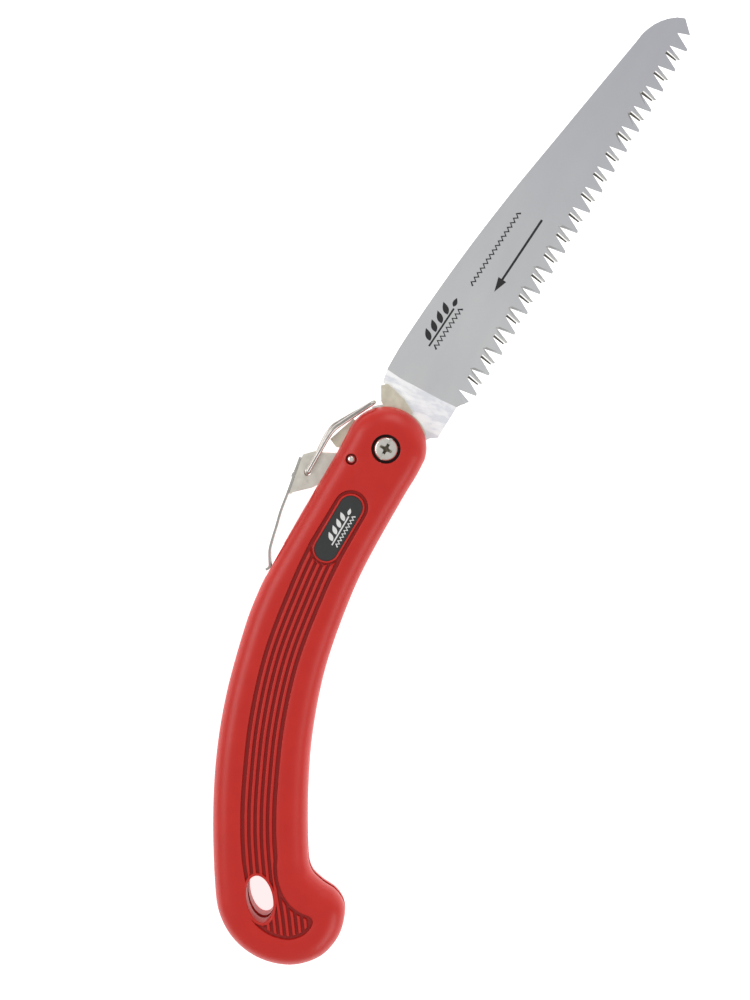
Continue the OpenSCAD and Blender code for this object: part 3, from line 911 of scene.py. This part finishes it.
def tooth_curves(i):
    """Lines on one pair of teeth at which its bevels and facets end."""
    foot = [on_edge(i, WIDE[0], BEVEL_FOOT), on_edge(i, NARROW[0], BEVEL_FOOT + 0.3)]
    if i < PAIRS:
        foot.append(on_edge(i, pair_pitch + WIDE[0], BEVEL_FOOT))
    lines = [foot]
    for root, end, inward in ((WIDE, BLUNT_0, 1), (NARROW, BLUNT_1, -1)):
        lines.append([on_edge(i, root[0] + inward * 1.15, root[1] + 0.4),
                      on_edge(i, end[0] + inward * 0.35, end[1] - 2.2)])
    if i < PAIRS:
        peak = on_edge(i, SHARP[0], SHARP[1] - 2.6)
        lines.append([on_edge(i, NARROW[0] + 1.1, NARROW[1] + 0.2), peak])
        lines.append([on_edge(i, WIDE[0] + pair_pitch - 1.1, WIDE[1] + 0.5), peak])
        lines.append([on_edge(i, *DARK_ROOT), on_edge(i, *DARK_END)])
        lines.append([on_edge(i, *BRIGHT_ROOT), on_edge(i, *BRIGHT_END)])
    return [(np.array(line), False) for line in lines]


def make_blade():
    """The plate with its set and ground teeth, its bare tang and its print."""
    curves = [(np.array(COATING), False)]
    curves += [(shape, True) for shape in PRINTS]
    for i in range(PAIRS + 1):
        curves += tooth_curves(i)

    def top(p):
        return BLADE_HALF - bevels(p, True) + tooth_set(p)

    def bottom(p):
        return -BLADE_HALF + bevels(p, False) + tooth_set(p)

    solid = cut(plate(blade_outline, curves, top, bottom), cylinder(BUSH_R, -3, 3))
    finishes = [SATIN, BARE_LIT, GROUND, INK, DARK_GROUND, GLINT_FACET]
    coated, bare, ground, inked, dark, bright = range(len(finishes))
    border_x, border_y = zip(*COATING[::-1])

    def choose(middle, normal):
        flat = middle[:, :2]
        kind = np.where(flat[:, 0] < np.interp(flat[:, 1], border_y, border_x), bare, coated)
        slope = (np.abs(normal[:, 2]) < 0.97) & (flat[:, 0] > BEVELLED[0])
        kind = np.where(slope, ground, kind)
        facet = np.where(middle[:, 2] > -0.3, facet_of(flat), 0)
        kind = np.where(facet == 1, bright, np.where(facet == 2, dark, kind))
        for shape in PRINTS:
            kind = np.where(inside(flat, shape) & (normal[:, 2] > 0.9), inked, kind)
        return kind

    def painted_tip_shade(verts):
        """Painted shade: the coated plate darkens a little towards the tip."""
        return np.clip((verts[:, 0] - 60) / 145, 0, 1)

    piece("blade", solid, "blade", finishes, ["saw_blade"], choose=choose, sharp=12,
          shade=painted_tip_shade)


make_blade()

# ---------------------------------------------------------------- pivot screw and pin

SCREW_TOP = 8.9
CROWN_R = 16.0
HEAD_R = 5.0
CROWN_EDGE = 4.8


def crown_z(r):
    """Height of the screw's domed head at a distance from its middle."""
    return SCREW_TOP - (CROWN_R - math.sqrt(CROWN_R**2 - r**2))


def bar(turn, half_l, half_w, depth, taper=0.0):
    """A block that cuts one slot in the screw's head, narrower and shorter at its foot."""
    wide = [(-half_l, -half_w), (half_l, -half_w), (half_l, half_w), (-half_l, half_w)]
    end, side = half_l - taper, half_w * 0.6
    slim = [(-end, -side), (end, -side), (end, side), (-end, side)]
    verts, faces = prism(spun(wide, turn), SCREW_TOP - depth, SCREW_TOP + 1)
    verts[:4, :2] = spun(slim, turn)
    return verts, faces


def make_screw():
    """The pivot screw, whose head has a four-arm recess over a straight slot."""
    edge_z = crown_z(CROWN_EDGE)
    profile = [(0, -8.4), (2.7, -8.4), (3.0, -8.1), (3.0, 6.6), (4.75, 6.6), (HEAD_R, 6.85),
               (HEAD_R, edge_z - 0.35), (4.93, edge_z - 0.12)]
    profile += [(r, crown_z(r)) for r in np.linspace(CROWN_EDGE, 0, 9)]
    arms = [bar(turn, 3.4, 0.75, 2.2, 1.5) for turn in (-5, 85)]
    solid = cut(lathe(profile), bar(-5, 6, 0.8, 1.4), *arms,
                cylinder(1.25, SCREW_TOP - 2.4, SCREW_TOP + 1, sides=24))

    def choose(middle, normal):
        r = np.hypot(middle[:, 0], middle[:, 1])
        # Faces deep in the recess take the painted shade.
        deep = between(middle[:, 2], (6.5, SCREW_TOP - 0.9))
        return np.where((r < 3.6) & deep, 1, 0)

    piece("screw", solid, "handle", [NICKEL, RECESS], ["pivot_screw"], choose=choose)


def make_pin():
    """The lever's pin, with a rounded end in each face."""
    end = HALF_T - 1.6
    half = [(0, -end), (1.1, -end + 0.12), (1.6, -end + 0.5), (1.8, -end + 1.0)]
    profile = half + [(r, -z) for r, z in half[::-1]]
    piece("pin", lathe(profile, 48, PIN), "handle", [NICKEL], ["lever_pin"], sharp=60)


make_screw()
make_pin()

# ---------------------------------------------------------------- lock lever, wire and leaf spring

LEVER_TOP, LEVER_TAIL = (-16.1, 32.0), (-33.9, 31.0)
LEVER_EDGE = [(-12.9, 27.7), (-12.1, 24), (-10.6, 20), (-7.3, 12.6), (-7.3, 11)]
LEVER_FOOT = [(-13.2, 10), (-27.8, 22.8)]
LEVER_EYE = 3.1
LEVER_HOLES = [((-17.2, 26.2), 0.95), ((-25.9, 25.6), 0.55)]
FLANGE_IN, FLANGE_OUT = 2.4, 3.4
WIRE_END = (-22.6, 27.2)
WIRE_TIP = (16.2, 12.6)
WIRE_R = 1.05
WIRE_Z = 4.55
WIRE_BEND = 1.9
LEAF_T = 1.1
LEAF_HALF = 3.2
RIVET_X, RIVET_R = -25.5, 1.35
FLAP = [(24.1, 12.6), (25.7, 10), (24.2, 5.7), (22.4, 1.2), (18.5, -4.6), (10, 0), (17.8, 9.9)]
HEEL_PLATE = [(6.2, 18.05), (-5.6, 23.8), (-7.8, 20.1), (-6, 12), (4, 10)]
TAIL_PLATE = [(-6, 17), (-30, 19.5), (-50, 20.2), (-52, 18), (-52, 10), (-20, -8), (-9, -15)]
EAR_R = 16.5
EAR_RIM = 18.1
EAR_IN, EAR_OUT = 0.9, 2.1
FRAME_SCREW_R = 1.6


def make_lever():
    """Two flanges folded from one sheet over a web, with holes for the pin and the wire."""
    flange = [LEVER_TAIL, LEVER_FOOT[1], LEVER_FOOT[0], *LEVER_EDGE[::-1], LEVER_TOP]
    down = unit((LEVER_TOP[1] - LEVER_TAIL[1], LEVER_TAIL[0] - LEVER_TOP[0]))
    web = np.array([LEVER_TOP, LEVER_TAIL, LEVER_TAIL + down, LEVER_TOP + down])
    solid = joined(prism(flange, FLANGE_IN, FLANGE_OUT), prism(flange, -FLANGE_OUT, -FLANGE_IN),
                   prism(web, -FLANGE_OUT, FLANGE_OUT),
                   cylinder(LEVER_EYE, FLANGE_IN, FLANGE_OUT, PIN),
                   cylinder(LEVER_EYE, -FLANGE_OUT, -FLANGE_IN, PIN))
    (large, large_r), (small, small_r) = LEVER_HOLES
    solid = cut(solid, cylinder(PIN_BORE, -6, 6, PIN), cylinder(WIRE_R + 0.4, -6, 6, WIRE_END, 32),
                cylinder(large_r, 2, 6, large, 32), cylinder(small_r, 3.1, 6, small, 24))
    piece("lever", solid, "lever", [LEVER_SHEET], ["lock_lever"], bevel=0.22)


def make_wire():
    """The bail wire: from one flange round the tang to the other, its back leg further out."""
    near = [WIRE_END, (-4.6, 24.9), (-0.6, 23.9), WIRE_TIP]
    far = [WIRE_TIP, (-0.2, 25.1), (-4.8, 26.2), WIRE_END]
    corners = [(*WIRE_END, FLANGE_IN - 0.2)] + [(*p, WIRE_Z) for p in near]
    corners += [(*p, -WIRE_Z) for p in far] + [(*WIRE_END, -FLANGE_IN + 0.2)]
    solid = tube(bent_path(corners, WIRE_BEND), WIRE_R)
    piece("wire", solid, "lever", [WIRE_STEEL], ["lock_wire"], sharp=60)


def make_leaf():
    """The leaf spring, riveted to the lever's web and curled up at its end."""
    guide = [(-17.6, 32.58), (-25.5, 32.13), (-33.5, 31.7), (-38, 31.6), (-43, 31.4), (-49, 30.7),
             (-53.5, 30.3), (-59.3, 29.5), (-63.2, 28), (-66.4, 26.7), (-68.2, 27.7)]
    line = smooth(guide, 8)
    strip = np.r_[beside(line, LEAF_T / 2), beside(line, -LEAF_T / 2)[::-1]]
    solid = cut(prism(strip, -LEAF_HALF, LEAF_HALF), turned_rod(RIVET_R, (RIVET_X, 29), (RIVET_X, 35)))
    piece("leaf", solid, "lever", [PALE_LEAF], ["leaf_spring"], bevel=0.3)


def anticlockwise(polygon):
    """The outline in the direction that prism needs."""
    return polygon if area(polygon) > 0 else polygon[::-1]


def make_frame():
    """Two ears, folded from one sheet over the flap and over the heel."""
    rim = np.r_[[(0, 0)], arc(EAR_RIM, -48, 62, 40)]
    shapes = [rim] + [anticlockwise(s) for s in (FLAP, HEEL_PLATE, TAIL_PLATE)]
    parts = []
    for low, high in ((EAR_IN, EAR_OUT), (-EAR_OUT, -EAR_IN)):
        parts.append(cylinder(EAR_R, low, high, sides=96))
        parts += [prism(s, low, high) for s in shapes]
    for a, b in ((FLAP[0], FLAP[6]), (HEEL_PLATE[0], HEEL_PLATE[1])):
        a, b = np.array(a), np.array(b)
        inner = (EAR_OUT - EAR_IN) * unit((-(b - a)[1], (b - a)[0]))
        web = anticlockwise(np.array([a, b, b + inner, a + inner]))
        parts.append(prism(web, -EAR_OUT, EAR_OUT))
    solid = cut(joined(*parts), cylinder(BUSH_R, -5, 5), cylinder(PIN_BORE, -5, 5, PIN),
                *[cylinder(FRAME_SCREW_R, -5, 5, p, 32) for p in FRAME_SCREWS])
    piece("frame", solid, "handle", [FRAME_SHEET], ["steel_frame"], bevel=0.3)


make_frame()
make_lever()
make_wire()
make_leaf()

# ---------------------------------------------------------------- badges

BADGE_TOP = HALF_T - 0.25
BADGE_T = 1.0
BADGE_EDGE = [(0, -0.12), (0.15, 0), (0.45, 0)]


def make_badges():
    """The oval inlay of each face, with the emblem in white on its outer side."""
    rim = capsule(*BADGE_ENDS, BADGE_R, 20)
    shapes = emblem(BADGE_ENDS.mean(0) + (0.3, -0.9), badge_turn, 1.0)
    curves = [(capsule(*BADGE_ENDS, BADGE_R - w, 20), True) for w, _ in BADGE_EDGE[1:]]
    curves += [(shape, True) for shape in shapes]

    def top(p):
        return BADGE_TOP + ramp(BADGE_R - from_line(p, BADGE_ENDS)[0], BADGE_EDGE)

    def bottom(p):
        return np.full(len(p), BADGE_TOP - BADGE_T)

    def choose(middle, normal):
        white = np.zeros(len(middle), bool)
        for shape in shapes:
            white |= inside(middle[:, :2], shape)
        outer = (np.abs(normal[:, 2]) > 0.9) & (np.abs(middle[:, 2]) > BADGE_TOP - BADGE_T / 2)
        return np.where(white & outer, 1, 0)

    solid = plate(rim, curves, top, bottom)
    finishes = [BADGE, WHITE]
    piece("badge_face", solid, "handle", finishes, ["badge_front"], choose=choose)
    piece("badge_rear", flipped(solid), "handle", finishes, ["badge_back"], choose=choose)


make_badges()

# ---------------------------------------------------------------- CAD nodes that keep their shape

KEPT = {
    # The washer's near-black finish is painted shade.
    "spring_washer": WASHER_SHADE,
    "pivot_bush": PLAIN_STEEL,
    "thrust_washer_front": PLAIN_STEEL,
    "thrust_washer_back": PLAIN_STEEL,
    "pivot_nut": NICKEL,
    "leaf_rivet": NICKEL,
    "frame_screws": PLAIN_STEEL,
    "grip_screws": PLAIN_STEEL,
    "ear_spacers": PLAIN_STEEL,
}
for node_name, finish in KEPT.items():
    node = frame["nodes"][node_name]
    node.data.materials.clear()
    node.data.materials.append(finish)

# ---------------------------------------------------------------- floor, light and camera

FLOOR_HALF = 20.0
FLOOR_DROP = 0.0005
FLOOR_GLOW = 0.8
WORLD_STRENGTH = 0.47
# Name, place, size and power of each soft light; all of them face the part
LIGHTS = [
    ("left_box", (-0.3, 1.3, 1.2), (1.4, 0.7), 9),
    ("right_box", (-0.6, -1.2, 0.8), (1.0, 0.6), 5),
    ("far_box", (1.4, 0.2, 1.0), (0.7, 1.0), 6),
    ("low_box", (1.0, -0.9, 0.5), (1.2, 0.6), 1.5),
]
CAMERA_TURN, CAMERA_TILT = 67.25, 4.2
CAMERA_DISTANCE = 0.800
CAMERA_LENS = 67.76
# How far right of the camera's middle line and above it the pivot lies, at the height of the face
PIVOT_RIGHT, PIVOT_UP = 0.004675, 0.021675
FACE_H = 0.008


def make_floor():
    """A white floor that glows a little, just under the part."""
    signs = ((-1, -1), (1, -1), (1, 1), (-1, 1))
    corners = [(x * FLOOR_HALF, y * FLOOR_HALF, -FLOOR_DROP) for x, y in signs]
    mesh = bpy.data.meshes.new("floor")
    mesh.from_pydata(corners, [], [(0, 1, 2, 3)])
    mesh.materials.append(material("floor_paper", (0.93, 0.93, 0.93), second=(0.92, 0.92, 0.92),
                                   roughness=0.9, specular=0.1, mottle=3, bump=0.0, glow=FLOOR_GLOW))
    floor = bpy.data.objects.new("floor", mesh)
    bpy.context.scene.collection.objects.link(floor)


def make_world():
    """Even white light from all round."""
    world = bpy.data.worlds.new("studio")
    world.use_nodes = True
    background = world.node_tree.nodes["Background"]
    background.inputs["Color"].default_value = (1, 1, 1, 1)
    background.inputs["Strength"].default_value = WORLD_STRENGTH
    bpy.context.scene.world = world


def area_light(name, place, size, power):
    """A soft box that faces the frame's origin."""
    data = bpy.data.lights.new(name, "AREA")
    data.shape = "RECTANGLE"
    data.size, data.size_y = size
    data.energy = power
    light = bpy.data.objects.new(name, data)
    light.location = place
    light.rotation_euler = (-Vector(place)).to_track_quat("-Z", "Y").to_euler()
    bpy.context.scene.collection.objects.link(light)


def make_camera():
    """Straight above the handle, tilted a little towards the blade, with +x near the top."""
    c, s = math.cos(math.radians(CAMERA_TURN)), math.sin(math.radians(CAMERA_TURN))
    lean = Matrix.Rotation(math.radians(CAMERA_TILT), 3, "Y")
    right, up, back = lean @ Vector((c, -s, 0)), lean @ Vector((s, c, 0)), lean @ Vector((0, 0, 1))
    face = PIVOT + Vector((0, 0, FACE_H))
    place = face - PIVOT_RIGHT * right - PIVOT_UP * up + CAMERA_DISTANCE * back
    data = bpy.data.cameras.new("camera")
    data.sensor_width = 36
    data.lens = CAMERA_LENS
    camera = bpy.data.objects.new("camera", data)
    camera.matrix_world = Matrix.Translation(place) @ Matrix((right, up, back)).transposed().to_4x4()
    bpy.context.scene.collection.objects.link(camera)
    bpy.context.scene.camera = camera


make_floor()
make_world()
for light in LIGHTS:
    area_light(*light)
make_camera()
bpy.context.scene.view_settings.view_transform = "Standard"
